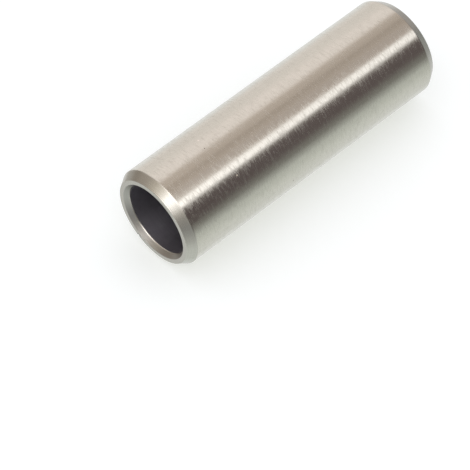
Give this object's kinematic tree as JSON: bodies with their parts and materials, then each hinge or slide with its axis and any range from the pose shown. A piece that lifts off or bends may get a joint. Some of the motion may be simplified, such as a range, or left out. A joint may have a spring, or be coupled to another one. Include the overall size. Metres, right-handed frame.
{
  "type": "gudgeon pin",
  "caption": "Hollow ground steel gudgeon pin with chamfered ends and coned bore mouths, for joining a piston to its connecting rod.",
  "frame": {"origin": "middle of the lower end face, on the pin's axis", "axes": "+Z along the pin's axis from the lower end face to the upper one; X and Y are any two directions across it"},
  "size_m": [0.016, 0.016, 0.05],
  "materials": {
    "ground_steel": "centreless ground flank with fine marks round the pin, turned chamfers and end faces, dark unground bore"
  },
  "bodies": {
    "root": {"gudgeon_pin": "ground_steel"}
  },
  "joints": []
}
